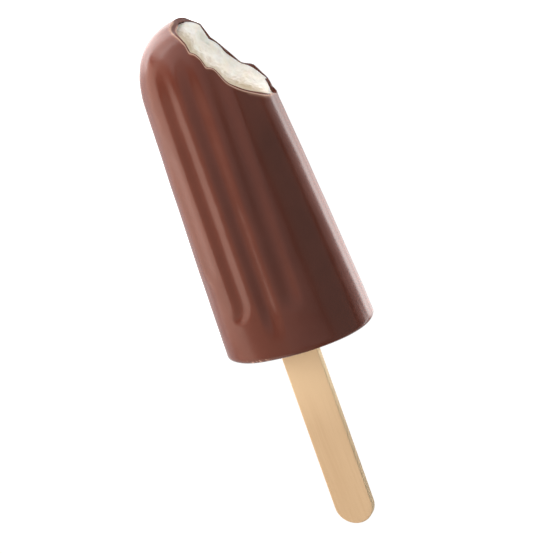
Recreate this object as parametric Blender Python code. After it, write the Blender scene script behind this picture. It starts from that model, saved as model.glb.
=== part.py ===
"""Ice cream bar on a wooden stick, with one bite taken from its rounded end.

The bar lies on its back. Each solid is first shaped in the bar's own directions:
u across its width, v along its length from the flat end to the rounded end, and
w through its thickness towards the fluted front. The bar is then laid down by the
angle of its own taper, so that a straight line along its back meets the ground.
"""

import math

import bmesh
import bpy
from mathutils import Matrix, Vector

MM = 0.001

# Whole bar, before the bite.
BAR_LENGTH = 92.8 * MM
SHOULDER_HEIGHT = 72.0 * MM      # where the straight sides turn into the rounded end
BASE_HALF_WIDTH = 21.0 * MM
SHOULDER_HALF_WIDTH = 17.4 * MM
BASE_HALF_DEPTH = 12.8 * MM
SHOULDER_HALF_DEPTH = 11.0 * MM
WIDTH_TAPER_POWER = 1.18         # a little above 1: the sides bow out slightly
SECTION_POWER = 2.1              # 2 is an ellipse, more is squarer
DOME_WIDTH_POWER = 2.35
DOME_DEPTH_POWER = 2.8
BASE_EDGE_RADIUS = 1.6 * MM
BASE_SLOPE = 0.04                # the flat end was filled slightly out of square
BACK_FLAT = 0.25 * MM            # how far the resting line is pressed flat

# Soft channels along the front; the middle one runs lower and fades out.
FLUTE_MIDDLE = -0.7 * MM
FLUTE_LEAN = 0.025               # sideways drift for each unit of length
FLUTE_HALF_WIDTH = 3.45 * MM
FLUTE_END_FADE = 22.0 * MM
CHANNELS = (                     # beside the middle one, depth, start, end, on back too
    (-12.6 * MM, 0.18 * MM, 20.0 * MM, 74.0 * MM, False),
    (-7.1 * MM, 0.55 * MM, 11.3 * MM, 92.0 * MM, True),
    (0.0 * MM, 0.55 * MM, 6.0 * MM, 92.0 * MM, False),
    (7.1 * MM, 0.55 * MM, 11.3 * MM, 92.0 * MM, True),
)

# Layers.
COATING = 1.5 * MM
GAP = 0.3 * MM                   # clearance between touching solids

# Stick, set a little off centre and out of line.
STICK_LENGTH = 114.0 * MM
STICK_WIDTH = 10.5 * MM
STICK_THICKNESS = 2.0 * MM
STICK_SHOWING = 54.0 * MM
STICK_OFFSET = -1.85 * MM
STICK_LEAN = math.radians(1.7)
STICK_EDGE_ROUND = 0.3 * MM

# Bite, measured along a chord from the bar's top to its right side. Depths run
# into the bar; the marks of the front teeth are shallower than those at the back.
CHORD_START = Vector((-2.2 * MM, 92.6 * MM))
CHORD_END = Vector((17.6 * MM, 68.3 * MM))
BITE_REACH = 9.8 * MM            # outline of the bitten face: half its thickness,
BITE_MIDDLE = 15.2 * MM          # its middle along the chord
BITE_HALF_LENGTH = 16.6 * MM     # and half its length
FRONT_RIDGE = -1.35 * MM
FRONT_MARKS = (                  # place along the chord, half width, depth
    (0.0 * MM, 2.6 * MM, 1.35 * MM),
    (7.75 * MM, 1.0 * MM, 0.72 * MM),
    (13.4 * MM, 1.35 * MM, 1.0 * MM),
)
FRONT_STEPS = (                  # begins, full depth, further depth
    (14.6 * MM, 21.0 * MM, 1.72 * MM),
    (23.0 * MM, 29.0 * MM, -0.45 * MM),
)
BACK_SHELF = 0.2 * MM
BACK_STEPS = (
    (1.2 * MM, 3.6 * MM, 0.6 * MM),
    (6.2 * MM, 9.0 * MM, 2.55 * MM),
    (9.4 * MM, 18.0 * MM, 0.85 * MM),
    (19.4 * MM, 23.6 * MM, -2.25 * MM),
    (26.0 * MM, 27.5 * MM, -0.25 * MM),
    (28.2 * MM, 31.0 * MM, 1.2 * MM),
)
END_WALLS = (                    # the bite rises steeply past its two ends
    (0.1 * MM, -1.0 * MM),
    (30.9 * MM, 32.3 * MM),
)
END_WALL_HEIGHT = 2.0 * MM
BITE_BOWL = 0.6 * MM             # extra hollow between front and back
CORE_RECESS = 0.35 * MM          # the soft core gives more than the shell
CORE_RECESS_TOP = 1.3 * MM       # and most of all at the top of the bite
CORE_RECESS_TOP_LENGTH = 3.5 * MM

# Mesh density.
RING_POINTS = 60
SIDE_RINGS = 12
DOME_RINGS = 9
EDGE_RINGS = 3
BITE_STEPS_ALONG = 48
BITE_STEPS_THROUGH = 9
BITE_MARGIN = 6.0 * MM           # how far the bite cutter runs past the chord
BITE_CUTTER_REACH = 18.0 * MM    # and past the middle of the bar, to each side
STICK_END_STEPS = 12


def smooth_step(start, end, value):
    """Rise smoothly from 0 to 1 between start and end."""
    part = min(max((value - start) / (end - start), 0.0), 1.0)
    return part * part * (3.0 - 2.0 * part)


def mix(first, second, part):
    return first + (second - first) * part


def power_root(value, power):
    """Height at value of the curve x**power + y**power = 1."""
    return max(1.0 - abs(value) ** power, 0.0) ** (1.0 / power)


def signed_power(value, power):
    return math.copysign(abs(value) ** power, value)


def flute(u, v, front):
    """Depth of the channels; the back has no middle one, because it rests there."""
    depth = 0.0
    for place, deepest, start, end, on_back in CHANNELS:
        if not (front or on_back):
            continue
        across = u - FLUTE_MIDDLE - FLUTE_LEAN * v - place
        below = max(start + FLUTE_HALF_WIDTH - v, 0.0)
        reach = min(math.hypot(across, below) / FLUTE_HALF_WIDTH, 1.0)
        fade_out = 1.0 - smooth_step(end - FLUTE_END_FADE, end, v)
        depth += deepest * (0.5 + 0.5 * math.cos(math.pi * reach)) * fade_out
    return depth


def ring_point(angle, v, edge, inset):
    """One point of the cross-section at v; inset moves the whole skin inwards."""
    dome_length = BAR_LENGTH - inset - SHOULDER_HEIGHT
    rise = max((v - SHOULDER_HEIGHT) / dome_length, 0.0)
    part = v / SHOULDER_HEIGHT
    half_width = mix(BASE_HALF_WIDTH, SHOULDER_HALF_WIDTH, part ** WIDTH_TAPER_POWER)
    half_depth = mix(BASE_HALF_DEPTH, SHOULDER_HALF_DEPTH, part)
    half_width = (half_width - inset - edge) * power_root(rise, DOME_WIDTH_POWER)
    half_depth = (half_depth - inset - edge) * power_root(rise, DOME_DEPTH_POWER)
    u = half_width * signed_power(math.cos(angle), 2.0 / SECTION_POWER)
    w = half_depth * signed_power(math.sin(angle), 2.0 / SECTION_POWER)
    w -= math.copysign(min(flute(u, v, w > 0.0), abs(w)), w)
    v += BASE_SLOPE * u * (1.0 - v / BAR_LENGTH)
    resting_line = mix(BASE_HALF_DEPTH, SHOULDER_HALF_DEPTH, v / SHOULDER_HEIGHT)
    w = max(w, inset + BACK_FLAT - resting_line)
    return Vector((u, v, w))


def ring_heights(inset):
    """Heights of the rings, each with how far the rounded base edge draws it in."""
    radius = BASE_EDGE_RADIUS
    rings = []
    for step in range(EDGE_RINGS):
        turn = 0.5 * math.pi * step / EDGE_RINGS
        height = inset + radius * (1.0 - math.cos(turn))
        rings.append((height, radius * (1.0 - math.sin(turn))))
    low = inset + radius
    for step in range(SIDE_RINGS):
        rings.append((mix(low, SHOULDER_HEIGHT, step / SIDE_RINGS), 0.0))
    dome_length = BAR_LENGTH - inset - SHOULDER_HEIGHT
    for step in range(DOME_RINGS):
        turn = 0.5 * math.pi * step / DOME_RINGS
        rings.append((SHOULDER_HEIGHT + dome_length * math.sin(turn), 0.0))
    return rings


def new_object(name, mesh_builder):
    mesh = bpy.data.meshes.new(name)
    mesh_builder.normal_update()
    mesh_builder.to_mesh(mesh)
    mesh_builder.free()
    made = bpy.data.objects.new(name, mesh)
    bpy.context.collection.objects.link(made)
    return made


def add_ring(builder, points):
    """Closed loop of edges through the points."""
    corners = [builder.verts.new(point) for point in points]
    followers = corners[1:] + corners[:1]
    return [builder.edges.new(pair) for pair in zip(corners, followers)]


def bar_body(name, inset):
    """Bar before it is bitten, its skin moved in by inset."""
    builder = bmesh.new()
    angles = [2.0 * math.pi * step / RING_POINTS for step in range(RING_POINTS)]
    previous = None
    for height, edge in ring_heights(inset):
        points = [ring_point(angle, height, edge, inset) for angle in angles]
        ring = add_ring(builder, points)
        if previous is None:
            bmesh.ops.contextual_create(builder, geom=ring)
        else:
            bmesh.ops.bridge_loops(builder, edges=previous + ring)
        previous = ring
    tip = builder.verts.new((0.0, BAR_LENGTH - inset, 0.0))
    for edge in previous:
        builder.faces.new((*edge.verts, tip))
    bmesh.ops.recalc_face_normals(builder, faces=builder.faces)
    return new_object(name, builder)


def stepped(depth, steps, along):
    for begins, full, further in steps:
        depth += further * smooth_step(begins, full, along)
    return depth


def bite_depth(along, w):
    """Depth of the bitten surface below the chord."""
    front = stepped(FRONT_RIDGE, FRONT_STEPS, along)
    for place, half_width, mark in FRONT_MARKS:
        front += mark * math.exp(-((along - place) / half_width) ** 2)
    back = stepped(BACK_SHELF, BACK_STEPS, along)
    part = min(abs(along - BITE_MIDDLE) / BITE_HALF_LENGTH, 0.99)
    reach = BITE_REACH * math.sqrt(1.0 - part ** 2)
    side = min(max(w / reach, -1.0), 1.0)
    depth = mix(back, front, 0.5 + 0.5 * side) + BITE_BOWL * (1.0 - side ** 2)
    for begins, full in END_WALLS:
        depth -= END_WALL_HEIGHT * smooth_step(begins, full, along)
    return depth


def core_recess(along):
    top = 1.0 - smooth_step(0.0, CORE_RECESS_TOP_LENGTH, along)
    return mix(CORE_RECESS, CORE_RECESS_TOP, top)


def bite_cutter(name, recess):
    """Solid that stands over the bitten surface; recess(along) deepens it."""
    chord = CHORD_END - CHORD_START
    forward = chord.normalized()
    inward = Vector((forward.y, -forward.x))
    builder = bmesh.new()
    rows = []
    for step in range(BITE_STEPS_ALONG + 1):
        along = mix(-BITE_MARGIN, chord.length + BITE_MARGIN, step / BITE_STEPS_ALONG)
        row = []
        for through in range(BITE_STEPS_THROUGH + 1):
            w = mix(-BITE_CUTTER_REACH, BITE_CUTTER_REACH, through / BITE_STEPS_THROUGH)
            place = CHORD_START + forward * along + inward * (bite_depth(along, w) + recess(along))
            row.append(builder.verts.new((place.x, place.y, w)))
        rows.append(row)
    for row, following in zip(rows, rows[1:]):
        for low, high in zip(range(BITE_STEPS_THROUGH), range(1, BITE_STEPS_THROUGH + 1)):
            builder.faces.new((row[low], row[high], following[high], following[low]))
    lid = bmesh.ops.extrude_face_region(builder, geom=list(builder.faces))
    lifted = [item for item in lid["geom"] if isinstance(item, bmesh.types.BMVert)]
    away = -inward * BAR_LENGTH
    bmesh.ops.translate(builder, verts=lifted, vec=(away.x, away.y, 0.0))
    bmesh.ops.recalc_face_normals(builder, faces=builder.faces)
    return new_object(name, builder)


def stick_body(name, grow):
    """Flat slat with two round ends; grow enlarges it on every side."""
    builder = bmesh.new()
    radius = 0.5 * STICK_WIDTH + grow
    straight = 0.5 * STICK_LENGTH - 0.5 * STICK_WIDTH
    half_thickness = 0.5 * STICK_THICKNESS + grow
    points = []
    for side in (1, -1):
        for step in range(STICK_END_STEPS + 1):
            turn = math.pi * step / STICK_END_STEPS
            across = side * radius * math.cos(turn)
            along = side * (straight + radius * math.sin(turn))
            points.append((across, along, -half_thickness))
    outline = add_ring(builder, points)
    bmesh.ops.contextual_create(builder, geom=outline)
    lid = bmesh.ops.extrude_face_region(builder, geom=list(builder.faces))
    lifted = [item for item in lid["geom"] if isinstance(item, bmesh.types.BMVert)]
    bmesh.ops.translate(builder, verts=lifted, vec=(0.0, 0.0, 2.0 * half_thickness))
    bmesh.ops.recalc_face_normals(builder, faces=builder.faces)
    made = new_object(name, builder)
    lean = Matrix.Rotation(-STICK_LEAN, 4, "Z")
    base_point = Matrix.Translation((STICK_OFFSET, 0.0, 0.0))
    centre = Matrix.Translation((0.0, 0.5 * STICK_LENGTH - STICK_SHOWING, 0.0))
    made.data.transform(base_point @ lean @ centre)
    return made


def cut_away(target, cutter):
    modifier = target.modifiers.new("cut_" + cutter.name, "BOOLEAN")
    modifier.operation = "DIFFERENCE"
    modifier.solver = "EXACT"
    modifier.object = cutter
    cutter.hide_render = True
    cutter.display_type = "WIRE"


def paint(target, name, colour, roughness):
    material = bpy.data.materials.new(name)
    material.use_nodes = True
    shader = material.node_tree.nodes["Principled BSDF"]
    shader.inputs["Base Color"].default_value = (*colour, 1.0)
    shader.inputs["Roughness"].default_value = roughness
    shader.inputs["Metallic"].default_value = 0.0
    target.data.materials.append(material)


def make_coating(stick_slot):
    """Chocolate shell: hollow, open at the bite and slotted for the stick."""
    coating = bar_body("coating", 0.0)
    cut_away(coating, bar_body("cavity_cutter", COATING))
    cut_away(coating, bite_cutter("coating_bite_cutter", lambda along: 0.0))
    cut_away(coating, stick_slot)
    paint(coating, "milk_chocolate", (0.133, 0.052, 0.036), 0.42)
    return coating


def make_ice_cream(stick_slot):
    """Vanilla core inside the shell, with a blind slot for the stick."""
    core = bar_body("ice_cream", COATING + GAP)
    cut_away(core, bite_cutter("core_bite_cutter", core_recess))
    cut_away(core, stick_slot)
    paint(core, "vanilla", (0.84, 0.76, 0.63), 0.6)
    return core


def make_stick():
    stick = stick_body("stick", 0.0)
    bevel = stick.modifiers.new("eased_edges", "BEVEL")
    bevel.width = STICK_EDGE_ROUND
    bevel.segments = 2
    bevel.limit_method = "ANGLE"
    paint(stick, "birch", (0.67, 0.47, 0.28), 0.6)
    return stick


def lay_down(pieces, solids):
    """Turn the bar onto its back, then centre its box on the origin at ground level."""
    rest = bpy.data.objects.new("lying_bar", None)
    bpy.context.collection.objects.link(rest)
    for piece in pieces:
        piece.parent = rest
    taper = math.atan((BASE_HALF_DEPTH - SHOULDER_HALF_DEPTH) / SHOULDER_HEIGHT)
    rest.rotation_euler = (-taper, 0.0, 0.0)
    bpy.context.view_layer.update()
    graph = bpy.context.evaluated_depsgraph_get()
    corners = []
    for solid in solids:
        ready = solid.evaluated_get(graph)
        corners += [ready.matrix_world @ point.co for point in ready.data.vertices]
    low = Vector(min(corner[axis] for corner in corners) for axis in range(3))
    high = Vector(max(corner[axis] for corner in corners) for axis in range(3))
    rest.location = (-0.5 * (low.x + high.x), -0.5 * (low.y + high.y), -low.z)


def main():
    for old in list(bpy.data.objects):
        bpy.data.objects.remove(old, do_unlink=True)
    stick_slot = stick_body("stick_slot_cutter", GAP)
    coating = make_coating(stick_slot)
    core = make_ice_cream(stick_slot)
    stick = make_stick()
    cutters = [item for item in bpy.data.objects if item.display_type == "WIRE"]
    lay_down([coating, core, stick] + cutters, [coating, core, stick])


main()
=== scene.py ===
import math

import bmesh
import bpy
import numpy as np
from mathutils import Matrix, Vector


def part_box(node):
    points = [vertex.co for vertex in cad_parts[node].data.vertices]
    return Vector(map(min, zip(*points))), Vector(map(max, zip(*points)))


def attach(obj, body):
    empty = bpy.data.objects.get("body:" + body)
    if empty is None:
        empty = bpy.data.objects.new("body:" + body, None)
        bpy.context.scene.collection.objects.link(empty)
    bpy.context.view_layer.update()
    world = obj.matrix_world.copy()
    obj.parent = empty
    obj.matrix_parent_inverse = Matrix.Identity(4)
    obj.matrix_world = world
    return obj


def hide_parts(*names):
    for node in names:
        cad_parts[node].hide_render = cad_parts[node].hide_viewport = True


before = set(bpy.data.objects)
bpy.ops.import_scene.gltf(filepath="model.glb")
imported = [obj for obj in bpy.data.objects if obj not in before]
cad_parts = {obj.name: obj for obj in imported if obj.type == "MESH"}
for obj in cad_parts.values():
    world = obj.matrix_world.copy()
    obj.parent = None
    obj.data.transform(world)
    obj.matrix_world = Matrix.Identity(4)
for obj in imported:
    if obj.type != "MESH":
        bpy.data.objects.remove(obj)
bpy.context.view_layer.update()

# Shapes are worked out in millimetres, in the bar's own directions: u across its
# width, v from its flat end to its round end, w from its back to its fluted front.
millimetre = 0.001
around = 320  # points round every ring of the coating and the ice cream


def mixed(first, second, part):  # first at part 0, second at part 1
    return first + (second - first) * part


def smoothStep(start, end, value):  # rises smoothly from 0 at start to 1 at end
    part = np.clip((value - start) / (end - start), 0.0, 1.0)
    return part * part * (3.0 - 2.0 * part)


def hump(value, place, width):  # a bell curve, 1 at its place
    return np.exp(-((value - place) / width) ** 2)


def signedPower(value, power):  # the power of its size, with its own sign
    return np.sign(value) * np.abs(value) ** power


def dome(rise, power):  # height of the curve x^power + y^power = 1
    return np.maximum(1.0 - np.clip(rise, 0.0, 1.0) ** power, 0.0) ** (1.0 / power)


def ripple(points, size, seed, count=24):
    # smooth random field of about unit height: a sum of cosines in random directions,
    # with pitches from a little under to a little over the size
    draw = np.random.default_rng(seed)
    direction = draw.normal(size=(count, 3))
    direction /= np.linalg.norm(direction, axis=1, keepdims=True)
    pitch = size * draw.uniform(0.7, 1.4, size=(count, 1))
    phase = draw.uniform(0.0, 2.0 * math.pi, count)
    waves = points @ (2.0 * math.pi * direction / pitch).T + phase
    return np.cos(waves).sum(axis=-1) * math.sqrt(2.0 / count)


def ripples(points, waves):  # the sum of several, each with its height, size and seed
    return sum(height * ripple(points, size, seed) for height, size, seed in waves)


def fullTurn(count):  # angles of the meridians, as one row
    return np.linspace(0.0, 2.0 * math.pi, count, endpoint=False)[None, :]


# The moulded bar: straight tapering sides up to a shoulder, then a round end.
bar = {
    "length": 92.68, "shoulderHeight": 72.0,
    "baseHalfWidth": 21.08, "shoulderHalfWidth": 17.48,
    "baseHalfDepth": 12.8, "shoulderHalfDepth": 11.0,
    "taperPower": 1.18, "sectionPower": 2.1,
    "domeWidthPower": 2.35, "domeDepthPower": 2.8,
    "edgeRadius": 1.6,  # round the flat end
    "baseSlope": 0.04,  # the flat end isn't quite square to the sides
    "backFlat": 0.25,   # how much its back is flattened where it lies on it
    "coating": 1.5,     # thickness of the chocolate
}
flutes = {
    "middle": -0.7, "lean": 0.025, "halfWidth": 3.45,
    "endFade": 22.0,    # length over which a flute fades out at its upper end
    "bluntness": 1.4,   # a half circle at the lower end, shortened by this factor
    "hookLength": 3.0,  # length over which the lower end curls sideways by its hook
    "channels": (       # place is beside the middle one; start, end and rise go up the bar
        {"place": -13.7, "depth": 0.36, "start": 22.0, "end": 74.0, "rise": 6.0, "hook": 0.0,
         "onBack": False},
        {"place": -7.1, "depth": 0.55, "start": 11.2, "end": 92.0, "rise": 1.0, "hook": -2.6,
         "onBack": True},
        {"place": 0.0, "depth": 0.70, "start": 4.0, "end": 92.0, "rise": 11.0, "hook": 0.0,
         "onBack": False},
        {"place": 7.1, "depth": 0.55, "start": 11.3, "end": 92.0, "rise": 6.0, "hook": 0.0,
         "onBack": True},
    ),
}


def fluteDepth(u, v, onFront):
    # raised-cosine channels with round lower ends, fading out towards the round end
    depth = np.zeros(np.broadcast(u, v).shape)
    for channel in flutes["channels"]:
        above = v - channel["start"]
        curl = channel["hook"] * hump(np.maximum(above, 0.0), 0.0, flutes["hookLength"])
        across = u - flutes["middle"] - flutes["lean"] * v - channel["place"] - curl
        below = np.maximum(flutes["halfWidth"] / flutes["bluntness"] - above, 0.0)
        reach = np.hypot(across, below * flutes["bluntness"]) / flutes["halfWidth"]
        section = 0.5 + 0.5 * np.cos(math.pi * np.minimum(reach, 1.0))
        shown = smoothStep(0.0, channel["rise"], above) * (1.0 if channel["onBack"] else onFront)
        shown = shown * (1.0 - smoothStep(channel["end"] - flutes["endFade"], channel["end"], v))
        depth = depth + channel["depth"] * section * shown
    return depth


def barSkin(angle, climb, inset, edge=0.0):
    # climb 0 to 1 runs up the straight sides and 1 to 2 over the round end, where the
    # ring height follows a sine; each ring is a superellipse pressed in by the flutes
    top = bar["length"] - inset - bar["shoulderHeight"]
    turn = 0.5 * math.pi * np.clip(climb - 1.0, 0.0, 1.0)
    v = bar["shoulderHeight"] * np.minimum(climb, 1.0) + top * np.sin(turn)
    part = v / bar["shoulderHeight"]
    halfWidth = mixed(bar["baseHalfWidth"], bar["shoulderHalfWidth"], part ** bar["taperPower"])
    halfDepth = mixed(bar["baseHalfDepth"], bar["shoulderHalfDepth"], part)
    halfWidth = (halfWidth - inset - edge) * dome(np.sin(turn), bar["domeWidthPower"])
    halfDepth = (halfDepth - inset - edge) * dome(np.sin(turn), bar["domeDepthPower"])
    u = halfWidth * signedPower(np.cos(angle), 2.0 / bar["sectionPower"])
    w = halfDepth * signedPower(np.sin(angle), 2.0 / bar["sectionPower"])
    w = w - np.sign(w) * np.minimum(fluteDepth(u, v, w > 0.0), np.abs(w))
    v = v + bar["baseSlope"] * u * (1.0 - v / bar["length"])
    backLine = mixed(bar["baseHalfDepth"], bar["shoulderHalfDepth"], v / bar["shoulderHeight"])
    w = np.maximum(w, inset + bar["backFlat"] - backLine)
    return np.stack(np.broadcast_arrays(u, v, w), axis=-1)


# The bite: a chord across the round end, and how far below it the teeth went. Steps are
# where they begin, where they are full, and their depth.
bite = {
    "start": (-2.2, 92.46), "end": (17.6, 68.3),  # of the chord, in u and v
    "reach": 9.8, "middle": 15.2, "halfLength": 16.6,  # outline of the bitten face
    "leastReach": 0.02,  # keeps the outline's ends from coming to a point
    "frontRidge": -1.35,
    "frontMarks": ((0.0, 2.6, 1.15), (7.75, 1.0, 0.72), (13.4, 1.35, 1.0)),  # place, width, depth
    "frontSteps": ((14.6, 21.0, 1.72), (23.0, 29.0, -0.45)),
    "backShelf": 0.05,
    "backSteps": ((1.2, 3.6, 0.6), (6.2, 9.0, 2.55), (9.4, 18.0, 0.85), (19.4, 23.6, -2.25),
                  (26.0, 27.5, -0.25), (28.2, 31.0, 1.2)),
    "endWalls": ((0.1, -1.0), (30.9, 32.3)), "endWallHeight": 2.0,
    "bowl": 0.6,
    "lowestClimb": 0.6, "halvings": 40,  # where the search for its rim starts, and its steps
}
chord = np.array(bite["end"]) - np.array(bite["start"])
forward = chord / float(np.linalg.norm(chord))
inward = np.array((forward[1], -forward[0]))


def biteReach(along):  # half the bitten face's extent through the bar, an ellipse
    part = (along - bite["middle"]) / bite["halfLength"]
    return bite["reach"] * np.sqrt(np.maximum(1.0 - part ** 2, bite["leastReach"]))


def biteSide(along, w):  # -1 on the back edge of the bitten face and 1 on its front edge
    return np.clip(w / biteReach(along), -1.0, 1.0)


def biteBowl(along, w):  # a parabola through the bar, lower towards the face's two ends
    return (1.0 - biteSide(along, w) ** 2) * (biteReach(along) / bite["reach"]) ** 2


def biteDepth(along, w):
    # depth of the bite below the chord: the front edge's tooth marks, the back edge's
    # deeper shelf, a straight blend from one to the other, a slight bowl and two end walls
    front, back = bite["frontRidge"], bite["backShelf"]
    for place, width, mark in bite["frontMarks"]:
        front = front + mark * hump(along, place, width)
    for begins, full, mark in bite["frontSteps"]:
        front = front + mark * smoothStep(begins, full, along)
    for begins, full, mark in bite["backSteps"]:
        back = back + mark * smoothStep(begins, full, along)
    depth = mixed(back, front, 0.5 + 0.5 * biteSide(along, w)) + bite["bowl"] * biteBowl(along, w)
    for begins, full in bite["endWalls"]:
        depth = depth - bite["endWallHeight"] * smoothStep(begins, full, along)
    return depth


def biteCoordinates(points):  # distance along the chord, and below it
    offset = points[..., :2] - np.array(bite["start"])
    return offset @ forward, offset @ inward


def bitePoint(along, w, depth):  # the chord's start, plus so far along and below it
    place = np.array(bite["start"]) + along[..., None] * forward + depth[..., None] * inward
    return np.concatenate((place, w[..., None]), axis=-1)


def noRecess(along, w):  # the shell's rim lies on the bite itself
    return 0.0


def rimClimb(angle, inset, recess=noRecess):
    # how far each meridian climbs before it meets the bite, by halving the interval
    low, high = np.full(angle.shape, bite["lowestClimb"]), np.full(angle.shape, 2.0)
    for _ in range(bite["halvings"]):
        middle = 0.5 * (low + high)
        points = barSkin(angle, middle, inset)
        along, depth = biteCoordinates(points)
        inside = depth > biteDepth(along, points[..., 2]) + recess(along, points[..., 2])
        low, high = np.where(inside, middle, low), np.where(inside, high, middle)
    return low


# The bar's taper lets it lie on its back with its round end lower by this angle.
tilt = math.atan((bar["baseHalfDepth"] - bar["shoulderHalfDepth"]) / bar["shoulderHeight"])


def turnedDown(points):  # v and w turned by the tilt; the back faces the table
    u, v, w = points[..., 0], points[..., 1], points[..., 2]
    y = v * math.cos(tilt) + w * math.sin(tilt)
    z = w * math.cos(tilt) - v * math.sin(tilt)
    return np.stack((u, y, z), axis=-1)


def shiftToFrame():
    # centres the laid-down bar across the coating's box in the frame, with its flat end
    # and its back on the box's own
    low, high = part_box("coating")
    columns, rows = 720, 200
    angle = fullTurn(columns)
    climb = np.linspace(0.0, 1.0, rows)[:, None]
    skin = turnedDown(barSkin(angle, climb, 0.0)).reshape(-1, 3) * millimetre
    base = turnedDown(barSkin(angle, 0.0, 0.0, bar["edgeRadius"])).reshape(-1, 3) * millimetre
    centre = 0.5 * (skin[:, 0].min() + skin[:, 0].max())
    return np.array((0.5 * (low.x + high.x) - centre, low.y - base[:, 1].min(),
                     low.z - skin[:, 2].min()))


barShift = shiftToFrame()


def placed(points):  # from the bar's millimetres to the frame's metres
    return turnedDown(points) * millimetre + barShift


def ringFaces(rows, columns, closed):
    # quads between neighbouring rings; closed joins the last ring to the first
    last = rows if closed else rows - 1
    row, column = np.meshgrid(np.arange(last), np.arange(columns), indexing="ij")
    nextRow, nextColumn = (row + 1) % rows, (column + 1) % columns
    quads = (row * columns + column, nextRow * columns + column,
             nextRow * columns + nextColumn, row * columns + nextColumn)
    return np.stack(quads, axis=-1).reshape(-1, 4)


def ringNormals(points):
    # unit normals of a grid of rings: cross products of its neighbours' differences
    down = np.gradient(points, axis=0)
    across = np.roll(points, -1, axis=1) - np.roll(points, 1, axis=1)
    normal = np.cross(down, across)
    length = np.linalg.norm(normal, axis=-1, keepdims=True)
    return normal / np.maximum(length, 1e-12)


def makePiece(name, rings, closed, material, node, marks=None):
    # rings is rows x around x 3 in the bar's directions; marks are float attributes
    rows, columns = rings.shape[:2]
    mesh = bpy.data.meshes.new(name)
    mesh.from_pydata(placed(rings).reshape(-1, 3), [], ringFaces(rows, columns, closed))
    for label, values in (marks or {}).items():
        layer = mesh.attributes.new(label, "FLOAT", "POINT")
        layer.data.foreach_set("value", np.ascontiguousarray(values, np.float32).ravel())
    builder = bmesh.new()
    builder.from_mesh(mesh)
    bmesh.ops.remove_doubles(builder, verts=builder.verts, dist=1e-7)
    builder.to_mesh(mesh)
    builder.free()
    mesh.shade_smooth()
    mesh.materials.append(material)
    piece = bpy.data.objects.new(name, mesh)
    bpy.context.collection.objects.link(piece)
    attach(piece, "root")
    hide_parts(node)
    print("made", name, "with", len(mesh.polygons), "faces")


class Wire:  # a shader socket that can stand in sums
    def __init__(self, finish, socket):
        self.finish, self.socket = finish, socket

    def maths(self, operation, first, second):
        return self.finish.node("Math", {"operation": operation}, {0: first, 1: second})

    def __add__(self, other):
        return self.maths("ADD", self, other)

    def __sub__(self, other):
        return self.maths("SUBTRACT", self, other)

    def __rsub__(self, other):
        return self.maths("SUBTRACT", other, self)

    def __mul__(self, other):
        return self.maths("MULTIPLY", self, other)

    __radd__, __rmul__ = __add__, __mul__


class Finish:  # one material and its Principled shader
    def __init__(self, name, sockets):
        self.material = bpy.data.materials.new(name)
        self.material.use_nodes = True
        self.tree = self.material.node_tree
        self.shader = self.tree.nodes["Principled BSDF"]
        self.plug(self.shader, sockets)

    def plug(self, node, sockets):
        for socket, value in sockets.items():
            if isinstance(value, Wire):
                self.tree.links.new(value.socket, node.inputs[socket])
            else:
                node.inputs[socket].default_value = value

    def surface(self, sockets):  # what varies over the piece
        self.plug(self.shader, sockets)
        return self.material

    def node(self, kind, settings, sockets, output=0):
        made = self.tree.nodes.new("ShaderNode" + kind)
        for setting, value in settings.items():
            setattr(made, setting, value)
        self.plug(made, sockets)
        return Wire(self, made.outputs[output])

    def place(self):  # object coordinates
        return self.node("TexCoord", {}, {}, "Object")

    def placeAlong(self, axis):  # one of them
        return self.node("SeparateXYZ", {}, {"Vector": self.place()}, axis)

    def mark(self, name):  # a float attribute of the mesh
        return self.node("Attribute", {"attribute_name": name}, {}, "Fac")

    def noise(self, place, size, detail, roughness):  # size in millimetres
        return self.node("TexNoise", {}, {"Vector": place, "Scale": 1.0 / (size * millimetre),
                                          "Detail": detail, "Roughness": roughness})

    def stretched(self, place, scale, turn):
        return self.node("Mapping", {}, {"Vector": place, "Scale": scale,
                                         "Rotation": (0.0, 0.0, turn)})

    def blended(self, part, first, second):  # from the first colour to the second
        return self.node("Mix", {"data_type": "RGBA"}, {0: part, 6: first, 7: second}, 2)

    def spread(self, value, low, high):  # smoothly from 0 at low to 1 at high
        return self.node("MapRange", {"interpolation_type": "SMOOTHSTEP"},
                         {"Value": value, "From Min": low, "From Max": high})

    def band(self, value, low, high, soft):  # 1 between the limits, with soft ends
        rising = self.spread(value, low - soft, low + soft)
        return rising - self.spread(value, high - soft, high + soft)

    def grey(self, value):
        return self.node("CombineColor", {}, {"Red": value, "Green": value, "Blue": value})

    def bumped(self, height, depth):  # depth in millimetres
        return self.node("Bump", {}, {"Height": height, "Distance": depth * millimetre})


stick = {
    "length": 114.0, "width": 10.5, "thickness": 2.0, "edgeRound": 0.22,
    "showing": 53.99,  # length outside the bar
    "offset": -1.85, "lean": math.radians(1.7),
    "slotGap": 0.03, "slotSquareness": 7.0,  # of the slots round it
    "faceRings": 11, "edgeRings": 6, "endPoints": 40, "sidePoints": 60,
    "pale": (0.705, 0.50, 0.302, 1.0), "deep": (0.655, 0.45, 0.262, 1.0),
    "paintedLight": (0.95, 0.70, 0.43, 1.0),  # painted light: paler wood beside the chocolate, where it lifts the shadow the bar casts on the stick
    "paintedLightEdges": (-0.048, -0.022),  # along Y in the frame, in metres
    "fibres": (0.55, 4.0, 0.6), "streaks": (3.0, 2.0, 0.5),  # noise size, detail, roughness
    "grainStretch": 0.035, "fibreDepth": 0.015, "fibreShare": 0.5, "toneEdges": (0.3, 0.7),
    "roughness": 0.6, "gloss": 0.3,
}


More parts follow.
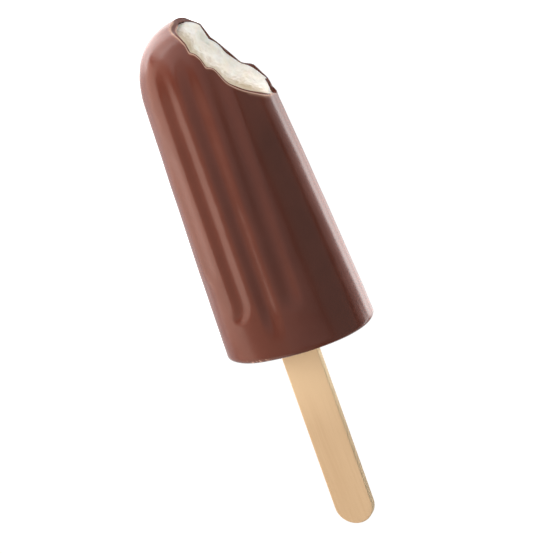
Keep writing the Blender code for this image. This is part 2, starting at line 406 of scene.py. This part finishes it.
def woodFinish():
    # fine fibres and broad streaks in two browns, both drawn out along the stick, and painted light
    # that pales it beside the chocolate
    finish = Finish("birch", {"Roughness": stick["roughness"], "Specular IOR Level": stick["gloss"]})
    alongGrain = finish.stretched(finish.place(), (1.0, stick["grainStretch"], 1.0), stick["lean"])
    fibres = finish.noise(alongGrain, *stick["fibres"])
    streaks = finish.noise(alongGrain, *stick["streaks"])
    tone = stick["fibreShare"] * fibres + (1.0 - stick["fibreShare"]) * streaks
    wood = finish.blended(finish.spread(tone, *stick["toneEdges"]), stick["deep"], stick["pale"])
    # painted light: the wood pales towards the chocolate, standing in for light in the bar's shadow
    paintedLight = finish.spread(finish.placeAlong("Y"), *stick["paintedLightEdges"])
    return finish.surface({
        "Base Color": finish.blended(paintedLight, wood, stick["paintedLight"]),
        "Normal": finish.bumped(fibres, stick["fibreDepth"]),
    })


def stickPlaced(across, along, height):
    # along is measured from the bar's flat end, positive inside the bar
    sine, cosine = math.sin(stick["lean"]), math.cos(stick["lean"])
    u = stick["offset"] + across * cosine + along * sine
    v = along * cosine - across * sine
    return np.stack(np.broadcast_arrays(u, v, height), axis=-1)


def slotRing(angle, v):
    # the slot round the stick at height v, a squarish superellipse
    power = 2.0 / stick["slotSquareness"]
    u = (0.5 * stick["width"] + stick["slotGap"]) * signedPower(np.cos(angle), power)
    w = (0.5 * stick["thickness"] + stick["slotGap"]) * signedPower(np.sin(angle), power)
    centre = stick["offset"] + v * math.tan(stick["lean"])
    return np.stack(np.broadcast_arrays(centre + u, v, w), axis=-1)


def makeStick():
    # a stadium outline drawn in ring by ring: from the middle line of the upper face
    # out to the eased edge, round it, and back to the middle line underneath
    radius, straight = 0.5 * stick["width"], 0.5 * (stick["length"] - stick["width"])
    half, ease = 0.5 * stick["thickness"], stick["edgeRound"]
    turn = np.linspace(0.0, math.pi, stick["endPoints"])
    run = np.linspace(1.0, -1.0, stick["sidePoints"] + 2)[1:-1]
    ends, sides = np.ones_like(turn), np.ones_like(run)
    cosine = np.concatenate((np.cos(turn), -sides, -np.cos(turn), sides))
    sine = np.concatenate((np.sin(turn), 0.0 * sides, -np.sin(turn), 0.0 * sides))
    middle = np.concatenate((ends, run, -ends, -run))
    quarter = np.linspace(0.0, 0.5 * math.pi, stick["edgeRings"] + 1)
    faceIn = np.linspace(radius, ease, stick["faceRings"], endpoint=False)
    drawIn = np.concatenate((faceIn, ease * (1.0 - np.sin(quarter))))
    height = np.concatenate((np.full(len(faceIn), half), half - ease * (1.0 - np.cos(quarter))))
    drawIn = np.concatenate((drawIn, drawIn[::-1]))[:, None]
    height = np.concatenate((height, -height[::-1]))[:, None]
    across = (radius - drawIn) * cosine
    along = straight * middle + (radius - drawIn) * sine
    along = along + 0.5 * stick["length"] - stick["showing"]
    rings = stickPlaced(across, along, height)
    makePiece("woodenStick", rings, False, woodFinish(), "stick")


shell = {
    "baseRings": 14, "edgeRings": 9, "sideRings": 190, "lipRings": 14, "insideRings": 60,
    "floorRings": 4,
    "baseCrowding": 1.5, "insideCrowding": 1.8,  # rings stand closer near the slot and the rim
    "insideLow": 0.02,  # climb at which the inside turns to its floor
    "collar": 0.5, "collarReach": 0.9,  # where the chocolate creeps along the stick
    "lipBead": 0.22, "lipGroove": 0.34, "grooveWidth": 0.14,  # the rounded, split broken edge
    "beadTaper": 4.0,  # length from the tip over which the bead grows
    "backThickness": 0.75, "backWave": 0.42, "backWavePlace": 16.4, "backWavePitch": 7.7,
    "thinEdges": (0.3, 0.8),  # where it goes from full thickness to thin, towards the back
    "thinLength": 0.08,  # climb over which it thickens again below the rim
    "waves": ((0.025, 16.0, 3), (0.006, 4.5, 5)),  # of the outside: height, size and seed
    "waveDrop": 3.0,  # they are lowered by this many times their height
    "waveStart": (2.0, 12.0), "waveEnd": 8.0,  # in rings from the slot, and to the rim
    "paleEdges": ((0.04, 0.14), (0.95, 0.15)),  # painted highlights on the lip's two rounded edges: place across the lip, and width
    "paleSide": (-0.5, 0.1),  # the lip's painted highlights show from here on towards the bite's front
    # painted glints: pale specks standing in for light caught by the flat end's upper edge
    "paintedGlintSize": 1.0, "paintedGlintSeed": 21, "paintedGlintRarity": (0.8, 1.5),
    "paintedGlintsFrom": (-15.0, -12.5), "paintedGlintsTo": (-6.5, -4.0),  # along the flat end's upper edge
    "brown": (0.130, 0.0345, 0.0215, 1.0), "darkBrown": (0.121, 0.0315, 0.0195, 1.0),
    # painted highlight colour of the lip's edges and of the glints on the flat end's edge
    "paintedHighlightBrown": (0.55, 0.325, 0.235, 1.0),
    "clouds": (9.0, 3.0, 0.5), "grain": (0.9, 3.0, 0.6),  # noise size, detail, roughness
    "cloudEdges": (0.35, 0.65), "grainDepth": 0.005,
    "roughness": 0.22, "cloudRoughness": 0.12, "grainRoughness": 0.10, "ior": 1.35,
}


def chocolateFinish():
    # two close browns in soft clouds, a gloss that varies a little, and painted highlights in pale
    # brown on the lip's edges, with painted glints on the flat end's edge
    finish = Finish("milkChocolate", {"IOR": shell["ior"]})
    place = finish.place()
    cloud = finish.noise(place, *shell["clouds"])
    grain = finish.noise(place, *shell["grain"])
    inCloud = finish.spread(cloud, *shell["cloudEdges"])
    brown = finish.blended(inCloud, shell["darkBrown"], shell["brown"])
    roughness = shell["roughness"] + shell["grainRoughness"] * (grain - 0.5)
    return finish.surface({
        # painted highlights in pale brown, on the lip's edges and as glints on the flat end's edge
        "Base Color": finish.blended(finish.mark("paintedHighlight"), brown, shell["paintedHighlightBrown"]),
        "Roughness": roughness + shell["cloudRoughness"] * (cloud - 0.5),
        "Normal": finish.bumped(grain, shell["grainDepth"]),
    })


def rimThickness(points):
    # the broken edge is full thickness in front and thin, in cosine waves, at the back
    along, _ = biteCoordinates(points)
    wave = np.cos(2.0 * math.pi * (along - shell["backWavePlace"]) / shell["backWavePitch"])
    thin = shell["backThickness"] + shell["backWave"] * wave
    backness = -biteSide(along, points[..., 2])
    return mixed(bar["coating"], thin, smoothStep(*shell["thinEdges"], backness))


def innerInset(rim, thickness, climb):  # from the rim's thickness to the full one below it
    return mixed(thickness, bar["coating"], smoothStep(0.0, shell["thinLength"], rim - climb))


def coatingBase(angle):
    # straight lines from the slot out to the flat end's edge, with a bell-shaped collar
    slot = slotRing(angle, 0.0)
    slot[..., 1] += bar["baseSlope"] * slot[..., 0]
    edge = barSkin(angle, 0.0, 0.0, bar["edgeRadius"])
    part = np.linspace(0.0, 1.0, shell["baseRings"], endpoint=False)[:, None, None]
    base = mixed(slot, edge, part ** shell["baseCrowding"])
    reach = np.linalg.norm(base - slot, axis=-1)
    base[..., 1] -= shell["collar"] * hump(reach, 0.0, shell["collarReach"])
    return base


def coatingEdge(angle):  # a quarter circle from the flat end to the sides
    turn = np.linspace(0.0, 0.5 * math.pi, shell["edgeRings"], endpoint=False)[:, None]
    climb = bar["edgeRadius"] * (1.0 - np.cos(turn)) / bar["shoulderHeight"]
    return barSkin(angle, climb, 0.0, bar["edgeRadius"] * (1.0 - np.sin(turn)))


def coatingLip(outerPoint, innerPoint, thickness):
    # straight from the outer to the inner skin, raised by the square root of a sine with
    # a bell-shaped groove along its middle; it is flat at the tip, so nothing tops it
    across = np.linspace(0.0, 1.0, shell["lipRings"] + 2)[1:-1, None, None]
    bead = shell["lipBead"] * (np.sin(math.pi * across) ** 0.5) \
        - shell["lipGroove"] * hump(across, 0.5, shell["grooveWidth"])
    along, _ = biteCoordinates(outerPoint)
    size = smoothStep(0.0, shell["beadTaper"], along) * thickness / bar["coating"]
    away = np.array((-inward[0], -inward[1], 0.0))
    return mixed(outerPoint, innerPoint, across) + bead * size[..., None] * away


def coatingWaves(rings, outerRows):
    # ripples along the outside's normals, lowered so that they only press inwards
    row = np.arange(len(rings))[:, None]
    shown = smoothStep(*shell["waveStart"], row) \
        * (1.0 - smoothStep(outerRows - shell["waveEnd"], outerRows, row))
    drop = shell["waveDrop"] * sum(height for height, size, seed in shell["waves"])
    wave = (ripples(rings, shell["waves"]) - drop) * shown
    return wave[..., None] * ringNormals(rings)


def paintedHighlightMark(rings, rim, outerRows):
    # painted highlights: 1 on both edges of the lip in front, and on painted glints along the flat
    # end's upper edge
    row = np.arange(len(rings))[:, None]
    acrossLip = (row - outerRows) / shell["lipRings"]
    edges = sum(hump(acrossLip, place, width) for place, width in shell["paleEdges"])
    along, _ = biteCoordinates(rim)
    inFront = smoothStep(*shell["paleSide"], biteSide(along, rim[..., 2]))
    u, w, edgeRow = rings[..., 0], rings[..., 2], row - shell["baseRings"]
    # painted glints: pale specks in front along the flat end's upper edge
    paintedGlints = ripple(rings, shell["paintedGlintSize"], shell["paintedGlintSeed"])
    paintedGlints = smoothStep(*shell["paintedGlintRarity"], paintedGlints) \
        * smoothStep(*shell["paintedGlintsFrom"], u) * (1.0 - smoothStep(*shell["paintedGlintsTo"], u)) \
        * (edgeRow > 0) * (edgeRow < shell["edgeRings"]) * (w > 0.0)
    return np.clip(edges, 0.0, 1.0) * inFront + paintedGlints


def makeCoating():
    # one closed skin: out over the flat end, up the sides to the bite, over the broken
    # edge, down the inside and back to the slot round the stick
    angle = fullTurn(around)
    upwards = np.linspace(0.0, 1.0, shell["sideRings"])[:, None]
    climb = mixed(bar["edgeRadius"] / bar["shoulderHeight"], rimClimb(angle, 0.0), upwards)
    side = barSkin(angle, climb, 0.0)
    thickness = rimThickness(side[-1:])
    innerRim = rimClimb(angle, thickness)
    lip = coatingLip(side[-1:], barSkin(angle, innerRim, thickness), thickness)
    downwards = np.linspace(0.0, 1.0, shell["insideRings"])[:, None] ** shell["insideCrowding"]
    climb = mixed(innerRim, shell["insideLow"], downwards)
    inside = barSkin(angle, climb, innerInset(innerRim, thickness, climb))
    inwards = np.linspace(0.0, 1.0, shell["floorRings"] + 1)[1:, None, None]
    floor = mixed(inside[-1:], slotRing(angle, bar["coating"]), inwards)
    rings = np.concatenate((coatingBase(angle), coatingEdge(angle), side, lip, inside, floor))
    outerRows = shell["baseRings"] + shell["edgeRings"] + shell["sideRings"]
    rings = rings + coatingWaves(rings, outerRows)
    # its mark holds the painted highlights on the lip and the painted glints on the flat end's edge
    makePiece("chocolateCoating", rings, True, chocolateFinish(), "coating",
              {"paintedHighlight": paintedHighlightMark(rings, side[-1:], outerRows)})


core = {
    "clearance": 0.02, "pocketEnd": 0.3,  # gaps to the shell, and to the end of the stick
    "capRings": 3, "wallRings": 12, "floorRings": 4, "sideRings": 60, "faceRings": 109,
    "sideCrowding": 1.8,  # rings stand closer near the rim
    "recess": 0.10,  # of its rim below the broken edge of the shell
    "topRecess": 2.4, "topLengthBack": 2.4, "topLengthFront": 5.4,  # more of it at the tip
    "hollow": 1.6, "centre": (15.3, -0.6),  # of the bitten face
    "hollowPower": 4, "lumpPower": 8,  # the higher, the nearer they come to the face's edge
    "lumps": ((0.10, 3.2, 11), (0.035, 1.1, 12)),  # height, size and seed
    "stretch": 0.55,  # the lumps are longer through the bar than along the chord
    "shadeEdges": (-0.7, 1.0),  # painted shade across the bitten face, from its back to its front
    "cream": (0.93, 0.85, 0.75, 1.0), "pale": (0.97, 0.92, 0.85, 1.0),
    # painted shade: a browner cream towards the bite's front, under the front lip; the random
    # mottling blends towards it as well
    "paintedShadeAndMottle": (0.50, 0.40, 0.275, 1.0),
    "frontShade": 1.5, "mottleShade": 1.1, "cloudShade": 0.5,
    "clouds": (3.2, 3.0, 0.6), "mottle": (1.3, 3.0, 0.55),  # noise size, detail, roughness
    "cloudEdges": (0.35, 0.65), "cloudBump": 0.6, "bumpDepth": 0.12,
    "glow": 0.3, "glowReach": 0.0015, "glowColour": (1.0, 0.8, 0.55),
    "roughness": 0.6, "gloss": 0.3,
}


def iceCreamFinish():
    # two creams in soft clouds, and painted shade, browner and mottled, towards the bite's front
    finish = Finish("vanilla", {
        "Subsurface Weight": core["glow"], "Subsurface Scale": core["glowReach"],
        "Subsurface Radius": core["glowColour"],
        "Roughness": core["roughness"], "Specular IOR Level": core["gloss"],
    })
    place = finish.place()
    cloud = finish.noise(place, *core["clouds"])
    mottle = finish.noise(place, *core["mottle"])
    cream = finish.blended(finish.spread(cloud, *core["cloudEdges"]), core["cream"], core["pale"])
    # painted shade darkens the cream towards the bite's front, with random mottling
    shaded = finish.mark("paintedFrontShade") * core["frontShade"] \
        + core["mottleShade"] * (mottle - 0.5) + core["cloudShade"] * (cloud - 0.5)
    return finish.surface({
        "Base Color": finish.blended(finish.spread(shaded, 0.0, 1.0), cream, core["paintedShadeAndMottle"]),
        "Normal": finish.bumped(mottle + core["cloudBump"] * cloud, core["bumpDepth"]),
    })


def coreRecess(along, w):
    # how far the ice cream lies below the broken edge of the shell, more at the tip
    length = mixed(core["topLengthBack"], core["topLengthFront"], 0.5 + 0.5 * biteSide(along, w))
    return core["recess"] + core["topRecess"] * (1.0 - smoothStep(0.0, length, along))


def corePocket(angle, low):
    # a flat cap beyond the stick's end, and the walls of its slot down to the flat end
    top = stick["length"] - stick["showing"] + core["pocketEnd"]
    end = slotRing(angle, top)
    part = np.linspace(0.0, 1.0, core["capRings"], endpoint=False)[:, None, None]
    cap = mixed(end.mean(axis=1, keepdims=True), end, part)
    wall = slotRing(angle, np.linspace(top, low, core["wallRings"])[:, None])
    return np.concatenate((cap, wall))


def coreFace(rim):
    # the bitten surface drawn in from its rim to its middle: the bite's depth, a
    # parabolic hollow and ripples; also the side of the bite that each point is on
    edgeAlong, _ = biteCoordinates(rim)
    part = np.linspace(1.0, 0.0, core["faceRings"] + 1)[1:, None]
    along = mixed(core["centre"][0], edgeAlong, part)
    w = mixed(core["centre"][1], rim[..., 2], part)
    hollow = core["hollow"] * biteBowl(along, w) * (1.0 - part ** core["hollowPower"])
    flat = np.stack((along, core["stretch"] * w, np.zeros_like(along)), axis=-1)
    lumps = ripples(flat, core["lumps"]) * (1.0 - part ** core["lumpPower"])
    depth = biteDepth(along, w) + coreRecess(along, w) + hollow + lumps
    return bitePoint(along, w, depth), biteSide(along, w)


def makeIceCream():
    # one closed skin: from the end of the stick's slot down its wall, out over the flat
    # end, up the side to the bite, and in over the bitten surface to its middle
    angle = fullTurn(around)
    inset = bar["coating"] + core["clearance"]
    low = inset / bar["shoulderHeight"]
    pocket = corePocket(angle, inset)
    thickness = rimThickness(barSkin(angle, rimClimb(angle, 0.0), 0.0))
    shellRim = rimClimb(angle, thickness)
    rim = rimClimb(angle, thickness + core["clearance"], coreRecess)
    outwards = np.linspace(0.0, 1.0, core["floorRings"] + 2)[1:-1, None, None]
    floor = mixed(pocket[-1:], barSkin(angle, low, inset), outwards)
    downwards = np.linspace(1.0, 0.0, core["sideRings"])[:, None] ** core["sideCrowding"]
    climb = mixed(rim, low, downwards)
    side = barSkin(angle, climb, innerInset(shellRim, thickness, climb) + core["clearance"])
    face, faceSide = coreFace(side[-1])
    rings = np.concatenate((pocket, floor, side, face))
    # painted shade over the bitten face, growing towards its front
    paintedFrontShade = np.zeros(rings.shape[:2])
    paintedFrontShade[-len(face):] = smoothStep(*core["shadeEdges"], faceSide)
    makePiece("vanillaIceCream", rings, False, iceCreamFinish(), "ice_cream",
              {"paintedFrontShade": paintedFrontShade})


view = {
    "turn": math.radians(26.0), "height": math.radians(20.0), "roll": math.radians(21.2),
    "aim": (-0.43, 16.85),  # to the right of and above the flat end's middle
    "frameWidth": 143.2,  # at the bar
    "lens": 1000.0, "sensor": 36.0,
}


def makeCamera():
    # the view's right, up and towards-the-camera directions beside the standing bar are
    # laid down with it, and the camera is rolled about the last
    turn, height, roll = view["turn"], view["height"], view["roll"]
    right = np.array((math.cos(turn), 0.0, -math.sin(turn)))
    level = np.array((math.sin(turn), 0.0, math.cos(turn)))
    upright = np.array((0.0, 1.0, 0.0))
    towards = turnedDown(level * math.cos(height) + upright * math.sin(height))
    up = turnedDown(upright * math.cos(height) - level * math.sin(height))
    right = turnedDown(right)
    target = placed(np.zeros(3)) + (view["aim"][0] * right + view["aim"][1] * up) * millimetre
    distance = view["frameWidth"] * millimetre * view["lens"] / view["sensor"]
    matrix = np.eye(4)
    matrix[:3, 0] = math.cos(roll) * right - math.sin(roll) * up
    matrix[:3, 1] = math.cos(roll) * up + math.sin(roll) * right
    matrix[:3, 2] = towards
    matrix[:3, 3] = target + towards * distance
    data = bpy.data.cameras.new("camera")
    data.lens, data.sensor_width = view["lens"], view["sensor"]
    camera = bpy.data.objects.new("camera", data)
    camera.matrix_world = Matrix(matrix.tolist())
    bpy.context.collection.objects.link(camera)
    bpy.context.scene.camera = camera
    print("the camera stands", round(distance, 2), "m away")


white, warm, cool = (1.0, 1.0, 1.0), (1.0, 0.80, 0.68), (0.72, 1.0, 1.0)
lamps = {  # azimuth from +X and elevation in degrees, size and distance in metres
    "key": {"azimuth": 135.0, "elevation": 15.0, "size": (0.55, 0.50), "distance": 0.70,
            "radiance": 5.3, "tint": (1.0, 0.95, 0.92)},
    "keyTop": {"azimuth": 135.0, "elevation": 45.0, "size": (0.55, 0.50), "distance": 0.70,
               "radiance": 2.1, "tint": white},
    "side": {"azimuth": 183.0, "elevation": 15.0, "size": (0.23, 0.22), "distance": 0.30,
             "radiance": 3.0, "tint": warm},
    "low": {"azimuth": 225.0, "elevation": 15.0, "size": (0.57, 0.50), "distance": 0.70,
            "radiance": 1.8, "tint": warm},
    "lowTop": {"azimuth": 235.0, "elevation": 45.0, "size": (0.70, 0.50), "distance": 0.70,
               "radiance": 1.0, "tint": warm},
    "top": {"azimuth": 0.0, "elevation": 90.0, "size": (0.55, 0.55), "distance": 0.70,
            "radiance": 0.9, "tint": white},
    "bite": {"azimuth": 60.0, "elevation": 50.0, "size": (0.50, 0.50), "distance": 0.70,
             "radiance": 0.2, "tint": white},
    "right": {"azimuth": 325.0, "elevation": 35.0, "size": (0.90, 0.60), "distance": 0.70,
              "radiance": 0.62, "tint": cool},
}
snoot = {
    "azimuth": 45.0, "elevation": 25.0, "distance": 0.40, "radius": 0.004,
    "cone": math.radians(9.0), "softness": 0.6, "power": 1.75,
    "along": -9.0,  # from the chord's middle, towards the tip
}


def hangLamp(name, data, lamp, target):
    # the lamp hangs in its direction from the target, at its distance, and faces it
    azimuth, elevation = math.radians(lamp["azimuth"]), math.radians(lamp["elevation"])
    aim = Vector((math.cos(azimuth) * math.cos(elevation),
                  math.sin(azimuth) * math.cos(elevation), math.sin(elevation)))
    turn = aim.to_track_quat("Z", "Y").to_matrix().to_4x4()
    hung = bpy.data.objects.new(name, data)
    hung.matrix_world = Matrix.Translation(Vector(placed(target)) + aim * lamp["distance"]) @ turn
    hung.visible_camera = False
    bpy.context.collection.objects.link(hung)


def makeLamps():  # soft boxes; the power is radiance x pi x area
    for name, lamp in lamps.items():
        data = bpy.data.lights.new(name, "AREA")
        data.shape = "RECTANGLE"
        data.size, data.size_y = lamp["size"]
        data.energy = lamp["radiance"] * math.pi * lamp["size"][0] * lamp["size"][1]
        data.color = lamp["tint"]
        hangLamp(name, data, lamp, np.array((0.0, 0.5 * bar["length"], 0.0)))
    print("hung", len(lamps), "soft boxes")


def makeSnoot():
    # a narrow cone of light on the bitten face
    data = bpy.data.lights.new("snoot", "SPOT")
    data.spot_size, data.spot_blend = snoot["cone"], snoot["softness"]
    data.shadow_soft_size, data.energy = snoot["radius"], snoot["power"]
    middle = np.array(bite["start"]) + 0.5 * chord + snoot["along"] * forward
    hangLamp("snoot", data, snoot, np.array((middle[0], middle[1], 0.0)))
    print("aimed the snoot at the bite")


table = {
    "size": 6.0, "colour": (0.02, 0.02, 0.02, 1.0), "roughness": 0.9, "glow": 1.02,
    "patches": {  # west, east, south and north edges and their softness in metres, added glow
        "rightFlank": (0.020, 0.0275, -0.025, 0.055, 0.003, 2.2),
        "rightBand": (0.0275, 0.037, -0.025, 0.045, 0.004, 7.5),
        "rightFar": (0.036, 0.060, -0.025, 0.080, 0.0015, 0.7),
        "leftFlank": (-0.030, 0.0, -0.025, 0.080, 0.0015, 0.8),
        "left": (-3.0, -0.060, -0.025, 0.080, 0.0015, 0.7),
        "beyond": (-3.0, -0.016, 0.072, 3.0, 0.024, 6.5),
        "corner": (0.036, 0.060, -0.050, -0.025, 0.0015, 5.0),
    },
}


def makeFloor():
    # a glowing white table, with brighter patches that light the bar's sides and its gloss
    half = 0.5 * table["size"]
    mesh = bpy.data.meshes.new("floor")
    corners = [(-half, -half, 0.0), (half, -half, 0.0), (half, half, 0.0), (-half, half, 0.0)]
    mesh.from_pydata(corners, [], [(0, 1, 2, 3)])
    finish = Finish("paleFloor", {"Base Color": table["colour"], "Roughness": table["roughness"],
                                  "Specular IOR Level": 0.0, "Emission Strength": 1.0})
    x, y = finish.placeAlong("X"), finish.placeAlong("Y")
    glow = table["glow"]
    for west, east, south, north, soft, added in table["patches"].values():
        glow = finish.band(x, west, east, soft) * finish.band(y, south, north, soft) * added + glow
    mesh.materials.append(finish.surface({"Emission Color": finish.grey(glow)}))
    floor = bpy.data.objects.new("floor", mesh)
    bpy.context.collection.objects.link(floor)
    print("laid the floor")


skyStrength = 0.02


def makeWorld():  # a dim white sky
    world = bpy.data.worlds.new("studio")
    world.use_nodes = True
    sky = world.node_tree.nodes["Background"]
    sky.inputs["Color"].default_value = (1.0, 1.0, 1.0, 1.0)
    sky.inputs["Strength"].default_value = skyStrength
    bpy.context.scene.world = world
    bpy.context.scene.view_settings.view_transform = "Standard"
    print("set the sky")


makeStick()
makeCoating()
makeIceCream()
makeCamera()
makeLamps()
makeSnoot()
makeFloor()
makeWorld()
